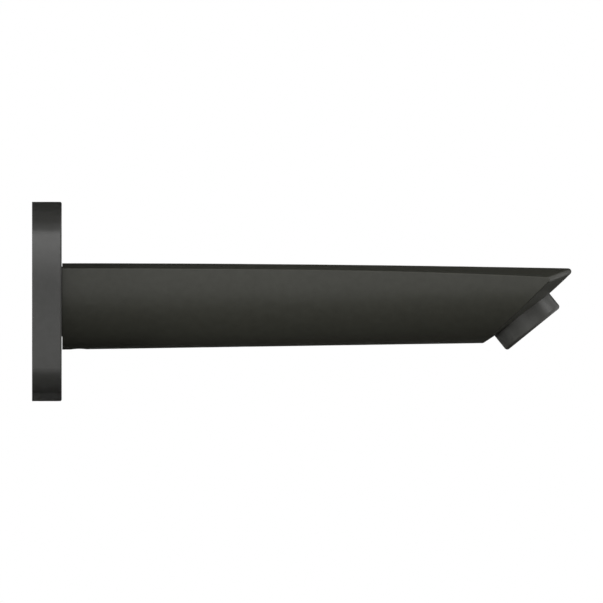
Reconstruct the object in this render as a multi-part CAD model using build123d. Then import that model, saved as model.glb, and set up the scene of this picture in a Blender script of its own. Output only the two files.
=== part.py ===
from build123d import *
import math
import os

# A wall mounted bath spout that slips over a stub of copper tube. The long body is a hollow casting
# with a crowned top, a bellied underside and flanks that flare towards a thin, curved lip. Water
# leaves through an aerator set square to the sloping cut under the lip. A soft square wall flange
# slides on the hub at the back, and a grub screw from below grips the tube.
#
# The origin is on the axis of the supply tube, in the plane of the finished wall. X runs out from
# the wall along the spout, Z is up. All lengths are in millimetres.

# Wall flange
flange_width = 79.9
flange_side_radius = 120.0
flange_corner_radius = 13.5
flange_thickness = 11.9
flange_face_wall = 3.0
flange_rim_wall = 5.0
flange_collar_wall = 3.0
flange_collar_setback = 2.0
flange_edge_radius = 0.7
gasket_groove_inset = 1.4
gasket_width = 2.2
gasket_thickness = 1.8
seam_gap = 0.2

# Outer form of the body
root_half_width = 25.3
root_ridge_height = 15.35
root_belly_height = -19.31
ridge_radius = 10046.0
crown_radius = 162.0
belly_rise_angle = 0.89
flare_start = 95.0
flare_radius = 715.0
flare_section_length = 31.75
flare_section_count = 4
body_wall = 3.0

# Sloping cut under the lip, a barrel shaped surface that curves along and across the spout
cut_centre_x = 69.4
cut_centre_z = 159.5
cut_radius = 208.45
cut_crown_radius = 160.0
lip_radius = 1.3
shoulder_edge_radius = 0.5
cut_barrel_half_length = 45.0

# Supply tube, hub and slip adapter
tube_bore_radius = 8.0
adapter_radius = 11.5
adapter_length = 38.0
adapter_nose_radius = 9.5
adapter_nose_length = 3.2
adapter_clearance = 0.05
hub_wall = 2.5
bulkhead_thickness = 3.0
waterway_radius = 7.5
side_rib_thickness = 3.0
flange_clearance = 0.15

# Seals
tube_ring_section = 2.4
tube_ring_positions = (24.5, 30.0)
adapter_ring_section = 1.8
adapter_ring_positions = (27.2, 35.0)
flange_ring_section = 1.8
flange_ring_position = 7.0
seal_clearance = 0.03
groove_width_share = 1.2

# Retaining ring behind the adapter
retaining_ring_thickness = 1.2
retaining_ring_groove_depth = 1.0
retaining_ring_side_room = 0.05
retaining_ring_band = 1.9
retaining_ring_gap_angle = 40.0
retaining_ring_lug_radius = 1.4
retaining_ring_eye_radius = 0.6

# Grub screw that grips the tube from below
screw_position = 18.8
screw_radius = 3.0
screw_length = 9.5
screw_thread_clearance = 0.05
screw_socket_flats = 3.0
screw_socket_depth = 3.5
screw_chamfer = 0.5
screw_cup_depth = 0.6
screw_tip_clearance = 0.3
screw_hole_chamfer = 0.15
screw_boss_width = 14.0
screw_boss_length = 16.0

# Aerator, set on the sloping cut and measured back along its axis from its outlet face
aerator_cut_height = -5.6
aerator_stand_out = 7.0
aerator_turn_angle = 1.376
collar_radius = 13.9
collar_height = 8.2
collar_edge_radius = 1.3
collar_seat_gap = 0.1
collar_side_gap = 0.2
thread_radius = 12.0
thread_length = 6.0
thread_clearance = 0.05
housing_bore_radius = 10.6
outlet_lip_radius = 9.6
outlet_lip_height = 2.2
insert_flange_radius = 11.5
insert_flange_thickness = 1.2
insert_wall = 1.0
insert_clearance = 0.1
insert_ledge_width = 0.9
insert_ledge_height = 1.8
insert_rib_count = 8
insert_rib_width = 1.6
insert_rib_height = 0.6
washer_thickness = 2.0
washer_bore_radius = 8.8
outlet_boss_wall = 3.0
outlet_boss_cover = 3.0

# Water screens and plates inside the aerator, stacked up from the outlet lip
stack_clearance = 0.02
outlet_grid_height = 1.8
outlet_grid_pitch = 1.9
outlet_grid_wall = 0.3
screen_thickness = 0.5
mixing_screen_height = 1.3
mixing_screen_rim = 0.7
mixing_screen_pitch = 2.0
mixing_screen_opening = 1.35
jet_plate_thickness = 1.2
jet_hole_radius = 0.6
jet_ring_radii = (4.2, 6.4)
jet_ring_holes = (12, 18)
dome_height = 2.6
dome_hole_radius = 0.65
dome_ring_pitch = 1.9
dome_ring_count = 3

# Worked out sizes
body_start = flange_thickness + seam_gap
hub_bore_radius = adapter_radius + adapter_clearance
hub_radius = hub_bore_radius + hub_wall
bulkhead_start = adapter_length + adapter_clearance
waterway_start = bulkhead_start + bulkhead_thickness
washer_base = collar_height + thread_length + insert_flange_thickness
outlet_seat = washer_base + washer_thickness
insert_radius = housing_bore_radius - insert_clearance - insert_rib_height
insert_bore = insert_radius - insert_wall
stack_radius = insert_bore - insert_clearance

# Heights of the aerator stack above its outlet face
grid_base = outlet_lip_height + stack_clearance
insert_base = grid_base + outlet_grid_height + stack_clearance
screen_base = insert_base + insert_ledge_height + stack_clearance
jet_plate_base = screen_base + 2 * (mixing_screen_height + stack_clearance)
strainer_base = jet_plate_base + jet_plate_thickness + stack_clearance

hub_plane = Plane(origin=(0, 0, 0), x_dir=(0, 1, 0), z_dir=(1, 0, 0))
cut_angle = math.asin((aerator_cut_height - cut_centre_z) / cut_radius)
aerator_angle = cut_angle + math.radians(aerator_turn_angle)
aerator_axis = (math.cos(aerator_angle), 0, math.sin(aerator_angle))
aerator_face = (
    cut_centre_x + cut_radius * math.cos(cut_angle) + aerator_stand_out * aerator_axis[0],
    0,
    aerator_cut_height + aerator_stand_out * aerator_axis[2],
)
aerator_plane = Plane(origin=aerator_face, x_dir=(0, 1, 0), z_dir=aerator_axis)


def turned(*profile):
    """Solid turned about the local Z axis from (radius, height) points."""
    outline = make_face(Polyline(*[(radius, 0, height) for radius, height in profile], close=True))
    return revolve(outline, Axis.Z)


def tube(outer, inner, low, high):
    """Plain ring about the local Z axis."""
    return turned((inner, low), (outer, low), (outer, high), (inner, high))


def rod(radius, low, high):
    """Plain round bar about the local Z axis."""
    return Pos(0, 0, low) * Cylinder(
        radius, high - low, align=(Align.CENTER, Align.CENTER, Align.MIN)
    )


def seal_ring(centre_radius, section, height):
    """Round section sealing ring about the local Z axis."""
    return Pos(0, 0, height) * Torus(centre_radius, section / 2)


def half_width(x):
    flare = max(0.0, x - flare_start)
    return root_half_width + flare**2 / (2 * flare_radius)


def ridge_height(x):
    return root_ridge_height - (x - body_start) ** 2 / (2 * ridge_radius)


def belly_height(x):
    return root_belly_height + (x - body_start) * math.tan(math.radians(belly_rise_angle))


def body_section(x, inset):
    """Section across the spout: a shallow crown over half an ellipse."""
    half = half_width(x) - inset
    ridge = ridge_height(x) - inset
    shoulder = ridge - half**2 / (2 * crown_radius)
    depth = shoulder - belly_height(x) - inset
    crown = ThreePointArc((-half, 0), (0, ridge - shoulder), (half, 0))
    belly = EllipticalCenterArc((0, 0), half, depth, start_angle=180, arc_size=180)
    plane = Plane(origin=(x, 0, shoulder), x_dir=(0, 1, 0), z_dir=(1, 0, 0))
    return plane * make_face([crown, belly])


def long_form(start, inset):
    """Flaring form of the spout before the sloping cut, drawn in by an inset."""
    stations = [start, (start + flare_start) / 2]
    for step in range(flare_section_count + 1):
        stations.append(flare_start + step * flare_section_length)
    return loft([body_section(x, inset) for x in stations])


def cut_barrel(inset):
    """Solid whose outside is the sloping cut, turned about an axis across the spout."""
    reach = cut_radius - inset
    half = cut_barrel_half_length
    drop = cut_crown_radius - math.sqrt(cut_crown_radius**2 - half**2)
    curve = ThreePointArc((reach - drop, -half), (reach, 0), (reach - drop, half))
    sides = Polyline((reach - drop, half), (0, half), (0, -half), (reach - drop, -half))
    return Pos(cut_centre_x, 0, cut_centre_z) * revolve(make_face([curve, sides]), Axis.Y)


def outer_form():
    """Outside of the casting, its lip rolled over and its two long shoulders eased."""
    form = long_form(body_start, 0) & cut_barrel(0)
    lip = form.edges().sort_by(Axis.X)[-1]
    form = form.fillet(lip_radius, [lip])
    longest = form.edges().sort_by(SortBy.LENGTH)[-2:]
    return form.fillet(shoulder_edge_radius, longest)


def rear_pocket():
    """Dry pocket open at the back, with the hub, its ribs and the screw boss left standing in it."""
    mouth = body_start - body_wall / 2
    pocket = long_form(body_start - body_wall, body_wall)
    pocket &= Pos(mouth, 0, 0) * Box(
        bulkhead_start - mouth,
        2 * flange_width,
        2 * flange_width,
        align=(Align.MIN, Align.CENTER, Align.CENTER),
    )
    barrel = hub_plane * rod(hub_radius, 0, bulkhead_start)
    ribs = Box(4 * bulkhead_start, flange_width, side_rib_thickness)
    boss = Pos(screw_position, 0, 0) * Box(
        screw_boss_length,
        screw_boss_width,
        flange_width,
        align=(Align.CENTER, Align.CENTER, Align.MAX),
    )
    return pocket - barrel - ribs - boss


def water_chamber():
    """Cored chamber from the bulkhead to the lip, clear of the boss that holds the aerator."""
    chamber = long_form(body_start, body_wall) & cut_barrel(body_wall)
    front = Pos(waterway_start, 0, 0) * Box(
        flare_start + flare_section_count * flare_section_length,
        2 * flange_width,
        2 * flange_width,
        align=(Align.MIN, Align.CENTER, Align.CENTER),
    )
    boss_top = outlet_seat + outlet_boss_cover
    boss = aerator_plane * rod(thread_radius + outlet_boss_wall, -boss_top, 0)
    return (chamber & front) - boss


def aerator_socket():
    """Spot face, thread bore, washer seat and way through for the aerator."""
    spot = collar_height + collar_seat_gap
    bore = thread_radius + thread_clearance
    return aerator_plane * turned(
        (0, collar_height),
        (collar_radius + collar_side_gap, collar_height),
        (collar_radius + collar_side_gap, -spot),
        (bore, -spot),
        (bore, -outlet_seat),
        (washer_bore_radius, -outlet_seat),
        (washer_bore_radius, -outlet_seat - 2 * outlet_boss_cover),
        (0, -outlet_seat - 2 * outlet_boss_cover),
    )


def hub_bores():
    """Stepped bore for the adapter with its retaining groove, and the way through the bulkhead."""
    groove_low = adapter_nose_length - retaining_ring_thickness - retaining_ring_side_room
    groove_radius = hub_bore_radius + retaining_ring_groove_depth
    return hub_plane * turned(
        (0, -1),
        (hub_bore_radius, -1),
        (hub_bore_radius, groove_low),
        (groove_radius, groove_low),
        (groove_radius, adapter_nose_length),
        (hub_bore_radius, adapter_nose_length),
        (hub_bore_radius, bulkhead_start),
        (waterway_radius, bulkhead_start),
        (waterway_radius, waterway_start + 1),
        (0, waterway_start + 1),
    )


def screw_hole():
    """Threaded hole up through the underside, with its mouth eased."""
    mouth = belly_height(screw_position)
    return Pos(screw_position, 0, 0) * turned(
        (0, mouth - 1),
        (screw_radius + screw_hole_chamfer + 1, mouth - 1),
        (screw_radius, mouth + screw_hole_chamfer),
        (screw_radius, 0),
        (0, 0),
    )


def ring_groove(outer, bore, section, position):
    """Square groove in the outside of a round part for a seal that meets the bore around it."""
    half = groove_width_share * section / 2
    floor = bore - 2 * seal_clearance - section
    return tube(outer + 1, floor, position - half, position + half)


def spout_body():
    hub = hub_plane * rod(hub_radius, 0, bulkhead_start)
    hub -= hub_plane * ring_groove(
        hub_radius, flange_hole_radius(), flange_ring_section, flange_ring_position
    )
    body = (outer_form() - rear_pocket() - water_chamber()) + hub
    return body - hub_bores() - aerator_socket() - screw_hole()


def flange_hole_radius():
    return hub_radius + flange_clearance


def flange_outline(inset):
    """Soft square of the wall flange, drawn in by an inset: four bowed sides and round corners."""
    side = flange_side_radius - inset
    centre = flange_width / 2 - flange_side_radius
    crest = centre + side
    corner = (centre + math.sqrt(2 * side**2 - centre**2)) / 2
    bow = ThreePointArc((corner, -corner), (crest, 0), (corner, corner))
    sides = [Rot(0, 0, 90 * turn) * bow for turn in range(4)]
    outline = make_face(sides)
    return fillet(outline.vertices(), flange_corner_radius - inset)


def escutcheon():
    """Cover plate, hollow behind, with a collar on the hub and a gasket groove in its rim."""
    hole = flange_hole_radius()
    face_back = flange_thickness - flange_face_wall
    plate = extrude(flange_outline(0), flange_thickness)
    rim = plate.faces().sort_by(Axis.Z)[-1].outer_wire().edges()
    plate = plate.fillet(flange_edge_radius, rim)
    plate -= extrude(flange_outline(flange_rim_wall), face_back)
    plate += tube(hole + flange_collar_wall, hole, flange_collar_setback, face_back)
    plate -= rod(hole, 0, flange_thickness)
    groove = flange_outline(gasket_groove_inset) - flange_outline(gasket_groove_inset + gasket_width)
    return hub_plane * (plate - extrude(groove, gasket_thickness))


def wall_gasket():
    """Soft ring that lies flush in the groove behind the flange."""
    outer = flange_outline(gasket_groove_inset + seal_clearance)
    inner = flange_outline(gasket_groove_inset + gasket_width - seal_clearance)
    return hub_plane * extrude(outer - inner, gasket_thickness - seal_clearance)


def flange_friction_ring():
    centre = flange_hole_radius() - seal_clearance - flange_ring_section / 2
    return hub_plane * seal_ring(centre, flange_ring_section, flange_ring_position)


def tube_ring_radius():
    return tube_bore_radius + seal_clearance + tube_ring_section / 2


def slip_adapter():
    """Brass sleeve that takes the tube, grooved inside and outside for its seals."""
    sleeve = turned(
        (tube_bore_radius, 0),
        (adapter_nose_radius, 0),
        (adapter_nose_radius, adapter_nose_length),
        (adapter_radius, adapter_nose_length),
        (adapter_radius, adapter_length),
        (tube_bore_radius, adapter_length),
    )
    for position in adapter_ring_positions:
        sleeve -= ring_groove(adapter_radius, hub_bore_radius, adapter_ring_section, position)
    groove_outer = tube_ring_radius() + tube_ring_section / 2 + seal_clearance
    for position in tube_ring_positions:
        half = groove_width_share * tube_ring_section / 2
        sleeve -= tube(groove_outer, tube_bore_radius - 1, position - half, position + half)
    screw_way = Pos(screw_position, 0, 0) * rod(
        screw_radius + adapter_clearance, -2 * adapter_radius, 0
    )
    return hub_plane * sleeve - screw_way


def tube_ring(position):
    return hub_plane * seal_ring(tube_ring_radius(), tube_ring_section, position)


def adapter_ring(position):
    centre = hub_bore_radius - seal_clearance - adapter_ring_section / 2
    return hub_plane * seal_ring(centre, adapter_ring_section, position)


def retaining_ring():
    """Internal spring ring with an open gap and an eye at each end for the pliers."""
    outer = hub_bore_radius + retaining_ring_groove_depth - adapter_clearance
    inner = outer - retaining_ring_band
    low = adapter_nose_length - retaining_ring_thickness - retaining_ring_side_room / 2
    high = low + retaining_ring_thickness
    ring = tube(outer, inner, low, high)
    spread = math.tan(math.radians(retaining_ring_gap_angle / 2))
    far = 2 * outer
    gap = make_face(Polyline((0, 0), (far, far * spread), (far, -far * spread), close=True))
    ring -= Pos(0, 0, low) * extrude(gap, 2 * retaining_ring_thickness)
    eye_centre = inner + retaining_ring_band - retaining_ring_lug_radius
    turn = retaining_ring_gap_angle / 2 + 5.0
    for side in (-turn, turn):
        place = Rot(0, 0, side) * Pos(eye_centre, 0, 0)
        ring += place * rod(retaining_ring_lug_radius, low, high)
        ring -= place * rod(retaining_ring_eye_radius, low, high)
    return hub_plane * Rot(0, 0, 90) * ring


def set_screw():
    """Cup point grub screw with a hexagon socket in its lower end."""
    tip = -tube_bore_radius - screw_tip_clearance
    radius = screw_radius - screw_thread_clearance
    head = tip - screw_length
    shank = turned(
        (0, head),
        (radius - screw_chamfer, head),
        (radius, head + screw_chamfer),
        (radius, tip - 2 * screw_chamfer),
        (radius - 2 * screw_chamfer, tip),
        (0, tip - screw_cup_depth),
    )
    socket = RegularPolygon(screw_socket_flats / 2, 6, major_radius=False)
    shank -= Pos(0, 0, head) * extrude(socket, screw_socket_depth)
    return Pos(screw_position, 0, 0) * shank


def aerator_housing():
    """Turned shell: collar outside the spout, threaded neck inside, lip at the outlet."""
    neck = thread_radius - thread_clearance
    top = collar_height + thread_length
    shell = turned(
        (outlet_lip_radius, 0),
        (collar_radius, 0),
        (collar_radius, -collar_height),
        (neck, -collar_height),
        (neck, -top),
        (housing_bore_radius, -top),
        (housing_bore_radius, -outlet_lip_height),
        (outlet_lip_radius, -outlet_lip_height),
    )
    rim = [
        edge
        for edge in shell.edges().filter_by(GeomType.CIRCLE)
        if edge.radius > collar_radius - 0.01 and edge.center().Z > -1
    ]
    return aerator_plane * shell.fillet(collar_edge_radius, rim)


def aerator_insert():
    """Moulded cup that stands on the grid, with a flange, centring ribs and a ledge for the stack."""
    flange_low = collar_height + thread_length
    ledge = insert_bore - insert_ledge_width
    cup = turned(
        (ledge, -insert_base),
        (insert_radius, -insert_base),
        (insert_radius, -flange_low),
        (insert_flange_radius, -flange_low),
        (insert_flange_radius, -washer_base),
        (insert_bore, -washer_base),
        (insert_bore, -insert_base - insert_ledge_height),
        (ledge, -insert_base - insert_ledge_height),
    )
    root = insert_wall / 2
    rib = Pos(insert_radius - root, 0, -flange_low) * Box(
        insert_rib_height + root,
        insert_rib_width,
        flange_low - insert_base,
        align=(Align.MIN, Align.CENTER, Align.MIN),
    )
    for place in PolarLocations(0, insert_rib_count):
        cup += place * rib
    return aerator_plane * cup


def inlet_screen():
    """Domed strainer that keeps grit out, standing on the jet plate and up through the washer."""
    inner = stack_radius - screen_thickness
    sphere = (stack_radius**2 + dome_height**2) / (2 * dome_height)
    centre = sphere - washer_base - dome_height
    cap = Pos(0, 0, centre) * (Sphere(sphere) - Sphere(sphere - screen_thickness))
    top = washer_base + dome_height + screen_thickness
    dome = cap & rod(stack_radius, -top, -washer_base)
    drill = rod(dome_hole_radius, -top, -washer_base)
    holes = [drill]
    for ring in range(1, dome_ring_count + 1):
        for place in PolarLocations(ring * dome_ring_pitch, 6 * ring):
            holes.append(place * drill)
    skirt = tube(stack_radius, inner, -washer_base - screen_thickness, -strainer_base)
    return aerator_plane * ((dome - holes) + skirt)


def jet_plate():
    """Disc that breaks the flow into fine jets and draws air in below it."""
    high = jet_plate_base + jet_plate_thickness
    plate = rod(stack_radius, -high, -jet_plate_base)
    drill = rod(jet_hole_radius, -high, -jet_plate_base)
    holes = []
    for ring_radius, count in zip(jet_ring_radii, jet_ring_holes):
        for place in PolarLocations(ring_radius, count):
            holes.append(place * drill)
    return aerator_plane * (plate - holes)


def mixing_screen(base):
    """Rimmed disc of square mesh, drawn coarser than the woven one."""
    disc = rod(stack_radius, -base - screen_thickness, -base)
    mesh_radius = stack_radius - mixing_screen_rim
    rim = tube(stack_radius, mesh_radius, -base - mixing_screen_height, -base)
    count = int(2 * stack_radius / mixing_screen_pitch)
    cell = Pos(0, 0, -base) * Box(
        mixing_screen_opening, mixing_screen_opening, 4 * screen_thickness
    )
    reach = mesh_radius - mixing_screen_opening * math.sqrt(0.5)
    cells = [
        place * cell
        for place in GridLocations(mixing_screen_pitch, mixing_screen_pitch, count, count)
        if math.hypot(place.position.X, place.position.Y) < reach
    ]
    return aerator_plane * ((disc - cells) + rim)


def outlet_grid():
    """Honeycomb that rests on the outlet lip and straightens the stream."""
    radius = housing_bore_radius - insert_clearance
    high = grid_base + outlet_grid_height
    disc = rod(radius, -high, -grid_base)
    across = outlet_grid_pitch - outlet_grid_wall
    hexagon = RegularPolygon(across / 2, 6, major_radius=False)
    cell = Pos(0, 0, -high - 1) * extrude(hexagon, outlet_grid_height + 2)
    count = 2 * int(outlet_lip_radius / outlet_grid_pitch) + 3
    reach = outlet_lip_radius - across / 2
    cells = [
        place * cell
        for place in HexLocations(outlet_grid_pitch / 2, count, count, major_radius=False)
        if math.hypot(place.position.X, place.position.Y) < reach
    ]
    return aerator_plane * (disc - cells)


def aerator_washer():
    outer = insert_flange_radius
    return aerator_plane * tube(outer, washer_bore_radius, -outlet_seat, -washer_base)


pieces = {
    "spout_body": spout_body(),
    "escutcheon": escutcheon(),
    "wall_gasket": wall_gasket(),
    "flange_friction_ring": flange_friction_ring(),
    "slip_adapter": slip_adapter(),
    "retaining_ring": retaining_ring(),
    "set_screw": set_screw(),
    "aerator_housing": aerator_housing(),
    "aerator_washer": aerator_washer(),
    "aerator_insert": aerator_insert(),
    "inlet_screen": inlet_screen(),
    "jet_plate": jet_plate(),
    "outlet_grid": outlet_grid(),
}
for name, position in zip(("rear", "front"), tube_ring_positions):
    pieces[f"tube_o_ring_{name}"] = tube_ring(position)
for name, position in zip(("rear", "front"), adapter_ring_positions):
    pieces[f"adapter_o_ring_{name}"] = adapter_ring(position)
for step, name in enumerate(("lower", "upper")):
    base = screen_base + step * (mixing_screen_height + stack_clearance)
    pieces[f"mixing_screen_{name}"] = mixing_screen(base)

os.makedirs("parts", exist_ok=True)
for name, piece in pieces.items():
    export_step(piece, f"parts/{name}.step")
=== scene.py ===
import math

import bpy
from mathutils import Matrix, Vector

# Wall mounted bath spout with a matte black coat, seen square on from its side.
# Lengths are in metres, in the shared frame: X runs out from the wall along the spout, Z is up.

bpy.context.scene.view_settings.view_transform = "Standard"
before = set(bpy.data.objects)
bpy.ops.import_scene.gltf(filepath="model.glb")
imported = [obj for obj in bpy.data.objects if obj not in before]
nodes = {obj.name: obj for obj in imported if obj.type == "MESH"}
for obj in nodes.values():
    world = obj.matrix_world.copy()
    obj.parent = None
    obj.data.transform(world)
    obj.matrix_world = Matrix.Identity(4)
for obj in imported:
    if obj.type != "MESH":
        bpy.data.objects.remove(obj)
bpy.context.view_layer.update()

millimetre = 0.001

# Outlet face of the aerator, and the turn that lays a pattern's Z along the aerator's axis
aerator_centre = (0.20106, 0.0, -0.01104)
aerator_turn = (0.0, math.radians(-39.0), 0.0)

# Length in which a Wave texture repeats at a scale of 1
wave_period = math.tau / 20

# Sockets of a Mix node that blends two colours, which can't be told apart by their names
mix_factor, mix_first, mix_second, mix_result = 0, 6, 7, 2


def linear_colour(text):
    """Linear RGBA from an sRGB hex colour."""
    channels = [int(text[i : i + 2], 16) / 255 for i in (1, 3, 5)]
    return (*[c / 12.92 if c <= 0.04045 else ((c + 0.055) / 1.055) ** 2.4 for c in channels], 1.0)


def per_metre(millimetres):
    """Texture scale at which one cell of the pattern is this many millimetres across."""
    return 1000.0 / millimetres


def set_inputs(tree, node, inputs):
    """Sets a node's inputs, each from a value or a link, by the socket's name or number."""
    for key, value in inputs.items():
        if isinstance(value, bpy.types.NodeSocket):
            tree.links.new(value, node.inputs[key])
        else:
            node.inputs[key].default_value = value


def add_node(tree, kind, settings, inputs):
    """Adds a node with its settings and inputs, and gives back its outputs."""
    node = tree.nodes.new(kind)
    for key, value in settings.items():
        setattr(node, key, value)
    set_inputs(tree, node, inputs)
    return node.outputs


def start_material(name):
    """New node material, with its tree and the object's own coordinates."""
    material = bpy.data.materials.new(name)
    material.use_nodes = True
    tree = material.node_tree
    place = add_node(tree, "ShaderNodeTexCoord", {}, {})["Object"]
    return material, tree, place


def finish_material(tree, colours, roughness, relief, plain_values):
    """Joins a material's patterns to its shader.

    colours is a pattern and the two hex colours that it blends, roughness is a pattern and the two
    values that it runs between, and relief is a list of patterns with their heights in millimetres.
    """
    pattern, low, high = colours
    blend = {
        mix_factor: pattern,
        mix_first: linear_colour(low),
        mix_second: linear_colour(high),
    }
    mixed = add_node(tree, "ShaderNodeMix", {"data_type": "RGBA"}, blend)[mix_result]
    pattern, smooth, rough = roughness
    sheen = add_node(
        tree, "ShaderNodeMapRange", {}, {"Value": pattern, "To Min": smooth, "To Max": rough}
    )["Result"]
    inputs = {"Base Color": mixed, "Roughness": sheen, **plain_values}
    below = {}
    for pattern, height in relief:
        raised = {"Height": pattern, "Distance": height * millimetre, **below}
        inputs["Normal"] = add_node(tree, "ShaderNodeBump", {}, raised)["Normal"]
        below = {"Normal": inputs["Normal"]}
    set_inputs(tree, tree.nodes["Principled BSDF"], inputs)


def lathe_rings(tree, place, pitch, along, centre=(0.0, 0.0, 0.0), turn=(0.0, 0.0, 0.0)):
    """Rings left by a lathe tool, at a pitch in millimetres along an axis of the turned frame."""
    turned = add_node(
        tree,
        "ShaderNodeMapping",
        {"vector_type": "TEXTURE"},
        {"Vector": place, "Location": centre, "Rotation": turn},
    )["Vector"]
    # A little distortion, because a tool never cuts quite even rings
    return add_node(
        tree,
        "ShaderNodeTexWave",
        {"bands_direction": along},
        {
            "Vector": turned,
            "Scale": per_metre(pitch) * wave_period,
            "Distortion": 0.6,
            "Detail": 1.0,
            "Detail Scale": 2.0,
        },
    )["Fac"]


def powder_coat(name, low, high, smooth, rough):
    """Matte powder coat, baked on cast metal: a soft, slightly olive black that spreads each
    highlight, over a low orange peel. The real grit is finer than 0.1 mm and is drawn at 0.5 mm."""
    material, tree, place = start_material(name)
    peel = add_node(tree, "ShaderNodeTexNoise", {}, {"Vector": place, "Scale": per_metre(3.0)})
    grit = add_node(
        tree, "ShaderNodeTexNoise", {}, {"Vector": place, "Scale": per_metre(0.5), "Detail": 1.0}
    )
    finish_material(
        tree,
        (peel["Fac"], low, high),
        (grit["Fac"], smooth, rough),
        [(peel["Fac"], 0.012), (grit["Fac"], 0.002)],
        {"Specular IOR Level": 0.2},
    )
    return material


def coated_turned_brass():
    """Satin black coat on turned brass: thinner than the powder coat, so it shines a little more and
    the lathe's rings show faintly. Their real pitch is about 0.15 mm, drawn at 0.5 mm."""
    material, tree, place = start_material("satin_black_coat_on_turned_brass")
    rings = lathe_rings(tree, place, 0.5, "Z", aerator_centre, aerator_turn)
    peel = add_node(tree, "ShaderNodeTexNoise", {}, {"Vector": place, "Scale": per_metre(2.0)})
    finish_material(
        tree,
        (peel["Fac"], "#2b2b28", "#363633"),
        (rings, 0.37, 0.45),
        [(rings, 0.002), (peel["Fac"], 0.006)],
        {"Specular IOR Level": 0.25},
    )
    return material


def moulded_rubber():
    """Moulded nitrile rubber: dull black, with a pale bloom in soft patches and a fine mould grain."""
    material, tree, place = start_material("moulded_black_rubber")
    bloom = add_node(tree, "ShaderNodeTexNoise", {}, {"Vector": place, "Scale": per_metre(4.0)})
    grain = add_node(tree, "ShaderNodeTexNoise", {}, {"Vector": place, "Scale": per_metre(0.4)})
    finish_material(
        tree,
        (bloom["Fac"], "#121212", "#2a2a29"),
        (bloom["Fac"], 0.50, 0.82),
        [(grain["Fac"], 0.006)],
        {"Specular IOR Level": 0.35},
    )
    return material


def turned_brass():
    """Bare brass from the lathe: warm and bright, ringed round the bore, with clouds of tarnish. The
    rings' real pitch is about 0.15 mm, drawn at 0.35 mm."""
    material, tree, place = start_material("turned_bare_brass")
    rings = lathe_rings(tree, place, 0.35, "X")
    tarnish = add_node(tree, "ShaderNodeTexNoise", {}, {"Vector": place, "Scale": per_metre(9.0)})
    finish_material(
        tree,
        (tarnish["Fac"], "#b48a3f", "#ecc98a"),
        (rings, 0.24, 0.36),
        [(rings, 0.003)],
        {"Metallic": 1.0},
    )
    return material


def stamped_spring_steel():
    """Stamped spring steel: mid grey, with short rolling streaks that blur its shine across them."""
    material, tree, place = start_material("stamped_spring_steel")
    along = add_node(
        tree, "ShaderNodeMapping", {}, {"Vector": place, "Scale": (1.0, 1.0, 0.12)}
    )["Vector"]
    streaks = add_node(tree, "ShaderNodeTexNoise", {}, {"Vector": along, "Scale": per_metre(0.4)})
    finish_material(
        tree,
        (streaks["Fac"], "#8a8a8c", "#bababc"),
        (streaks["Fac"], 0.22, 0.50),
        [(streaks["Fac"], 0.004)],
        {"Metallic": 1.0},
    )
    return material


def turned_steel():
    """Turned stainless steel of a small screw: grey and fairly bright, ringed round its length. The
    rings' real pitch is about 0.1 mm, drawn at 0.3 mm."""
    material, tree, place = start_material("turned_stainless_steel")
    rings = lathe_rings(tree, place, 0.3, "Z")
    cloud = add_node(tree, "ShaderNodeTexNoise", {}, {"Vector": place, "Scale": per_metre(2.5)})
    finish_material(
        tree,
        (cloud["Fac"], "#86868b", "#b6b6b8"),
        (rings, 0.26, 0.38),
        [(rings, 0.003)],
        {"Metallic": 1.0},
    )
    return material


def screen_steel():
    """Stainless steel of the water screens: pale, with faint lime spots that dull its shine."""
    material, tree, place = start_material("stainless_water_screen")
    lime = add_node(tree, "ShaderNodeTexNoise", {}, {"Vector": place, "Scale": per_metre(1.2)})
    finish_material(
        tree,
        (lime["Fac"], "#acacae", "#dcdcda"),
        (lime["Fac"], 0.16, 0.60),
        [(lime["Fac"], 0.006)],
        {"Metallic": 1.0},
    )
    return material


def moulded_acetal(name, low, high):
    """Moulded acetal of the aerator's insides: an even colour with slight flow clouds under a hard
    satin skin."""
    material, tree, place = start_material(name)
    flow = add_node(tree, "ShaderNodeTexNoise", {}, {"Vector": place, "Scale": per_metre(6.0)})
    skin = add_node(tree, "ShaderNodeTexNoise", {}, {"Vector": place, "Scale": per_metre(0.6)})
    finish_material(
        tree,
        (flow["Fac"], low, high),
        (skin["Fac"], 0.30, 0.46),
        [(skin["Fac"], 0.003)],
        {"Specular IOR Level": 0.45},
    )
    return material


def wear(material, *names):
    """Gives a finish to CAD nodes."""
    for name in names:
        nodes[name].data.materials.clear()
        nodes[name].data.materials.append(material)


rubber = moulded_rubber()
white_plastic = moulded_acetal("moulded_white_acetal", "#d6d6d2", "#f0f0ed")
grey_plastic = moulded_acetal("moulded_dark_grey_acetal", "#343435", "#4a4a4b")

# The flange's coat is a touch greyer and smoother than the spout's, so its edge shines more.
wear(powder_coat("matte_black_powder_coat", "#282823", "#31312c", 0.38, 0.51), "spout_body")
wear(powder_coat("matte_black_flange_coat", "#282826", "#313130", 0.26, 0.38), "escutcheon")
wear(coated_turned_brass(), "aerator_housing")
wear(rubber, "wall_gasket", "flange_friction_ring", "aerator_washer")
wear(rubber, "tube_o_ring_rear", "tube_o_ring_front")
wear(rubber, "adapter_o_ring_rear", "adapter_o_ring_front")
wear(turned_brass(), "slip_adapter")
wear(stamped_spring_steel(), "retaining_ring")
wear(turned_steel(), "set_screw")
wear(screen_steel(), "inlet_screen", "mixing_screen_lower", "mixing_screen_upper")
wear(white_plastic, "aerator_insert", "jet_plate")
wear(grey_plastic, "outlet_grid")

# Middle of the spout, which the lamps look at and the cards stand round
spout_middle = Vector((0.108, 0.0, 0.0))
lamp_distance = 1.5

# Turn that stands a flat card up, and points the camera level at the spout's side
upright = (math.radians(90), 0.0, 0.0)
lying = (0.0, 0.0, 0.0)


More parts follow.
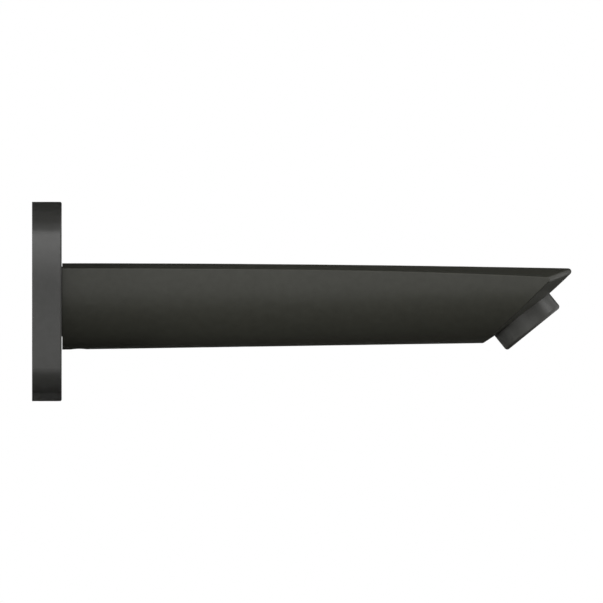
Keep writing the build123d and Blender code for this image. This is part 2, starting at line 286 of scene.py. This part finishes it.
def softbox(name, azimuth, elevation, width, height, radiance, mirrored=True):
    """Soft light that faces the middle of the spout. Only a mirrored one shows as a highlight."""
    turn, rise = math.radians(azimuth), math.radians(elevation)
    level = math.cos(rise)
    away = Vector((math.sin(turn) * level, -math.cos(turn) * level, math.sin(rise)))
    bpy.ops.object.light_add(type="AREA", location=spout_middle + lamp_distance * away)
    light = bpy.context.object
    light.name = name
    light.data.shape = "RECTANGLE"
    light.data.size = width
    light.data.size_y = height
    # An area lamp of this power has the given radiance.
    light.data.energy = radiance * math.pi * width * height
    light.rotation_euler = (-away).to_track_quat("-Z", "Y").to_euler()
    light.visible_glossy = mirrored


# Name, azimuth and elevation in degrees, width and height in metres, and radiance of each lamp.
# Azimuth 0 is the side that the camera sees, and 90 is the outlet end.
softboxes = [
    ("front_low", 0, -14, 0.30, 0.9, 3.5),
    ("front_high", 0, 26, 0.8, 0.5, 8.0),
    ("side_high", 85, 38, 0.5, 0.5, 7.0),
    ("wall_high", -90, 38, 1.2, 1.2, 2.0, False),
    ("low_left", -70, -30, 0.5, 0.5, 10.0),
    ("low_right", 70, -30, 0.5, 0.5, 8.0, False),
    ("back_high", 180, 75, 1.4, 1.0, 4.0),
    ("back_low", 180, -20, 1.0, 0.4, 14.0, False),
]
for row in softboxes:
    softbox(*row)


def plain_material(name, text, roughness):
    """Plain painted surface for the studio itself."""
    material = bpy.data.materials.new(name)
    material.use_nodes = True
    shader = material.node_tree.nodes["Principled BSDF"]
    shader.inputs["Base Color"].default_value = linear_colour(text)
    shader.inputs["Roughness"].default_value = roughness
    shader.inputs["Specular IOR Level"].default_value = 0.0
    return material


def card(name, away, turn, width, depth, material):
    """Flat studio surface, this far away from the spout's middle. It isn't part of the object."""
    place = spout_middle + Vector(away)
    bpy.ops.object.select_all(action="DESELECT")
    bpy.ops.mesh.primitive_plane_add(size=1.0, location=place, rotation=turn)
    surface = bpy.context.object
    surface.name = name
    surface.scale = (width, depth, 1.0)
    surface.data.materials.append(material)
    return surface


def studio_white(tree, falling, seen):
    """Strength of a white surface: one value for the light that falls from it on things, and one
    for where the camera, a gloss or a clear piece sees it."""
    paths = add_node(tree, "ShaderNodeLightPath", {}, {})
    looked_at = paths["Is Camera Ray"]
    for ray in ("Is Glossy Ray", "Is Transmission Ray"):
        pair = {0: looked_at, 1: paths[ray]}
        looked_at = add_node(tree, "ShaderNodeMath", {"operation": "MAXIMUM"}, pair)["Value"]
    limits = {"Value": looked_at, "To Min": falling, "To Max": seen}
    return add_node(tree, "ShaderNodeMapRange", {}, limits)["Result"]


floor_level = -0.8
floor_width = 9.0

# The floor glows only where it is seen, and the world is a little dimmer as light than as seen.
floor_glow = {"falling": 0.0, "seen": 0.7}
world_glow = {"falling": 0.9, "seen": 1.0}
white = linear_colour("#ffffff")

pale_floor = plain_material("pale_studio_floor", "#ededeb", 0.8)
tree = pale_floor.node_tree
glow = {"Emission Color": white, "Emission Strength": studio_white(tree, **floor_glow)}
set_inputs(tree, tree.nodes["Principled BSDF"], glow)
card("floor", (0.0, 0.0, floor_level), lying, floor_width, floor_width, pale_floor)

# Black cards keep the white surroundings out of the coat's gloss. The camera doesn't see them.
black_card = plain_material("black_velvet_card", "#0a0a0a", 1.0)
black_cards = [
    card("card_above", (0.0, 0.7, 1.3), lying, 2.0, 2.6, black_card),
    card("card_behind", (0.0, 2.0, 0.25), upright, 2.4, 2.1, black_card),
    card("card_below", (0.0, 0.3, -0.6), lying, 1.8, 2.2, black_card),
]
for surface in black_cards:
    surface.visible_camera = False

world = bpy.data.worlds.new("pale_studio")
bpy.context.scene.world = world
world.use_nodes = True
tree = world.node_tree
sky = {"Color": white, "Strength": studio_white(tree, **world_glow)}
set_inputs(tree, tree.nodes["Background"], sky)

# The photograph is a level side view without perspective, and shows this width round this middle.
photo_width = 0.24165
photo_middle = 0.10799
camera_distance = 1.0
bpy.ops.object.camera_add(location=(photo_middle, -camera_distance, 0.0), rotation=upright)
camera = bpy.context.object
camera.data.type = "ORTHO"
camera.data.ortho_scale = photo_width
bpy.context.scene.camera = camera
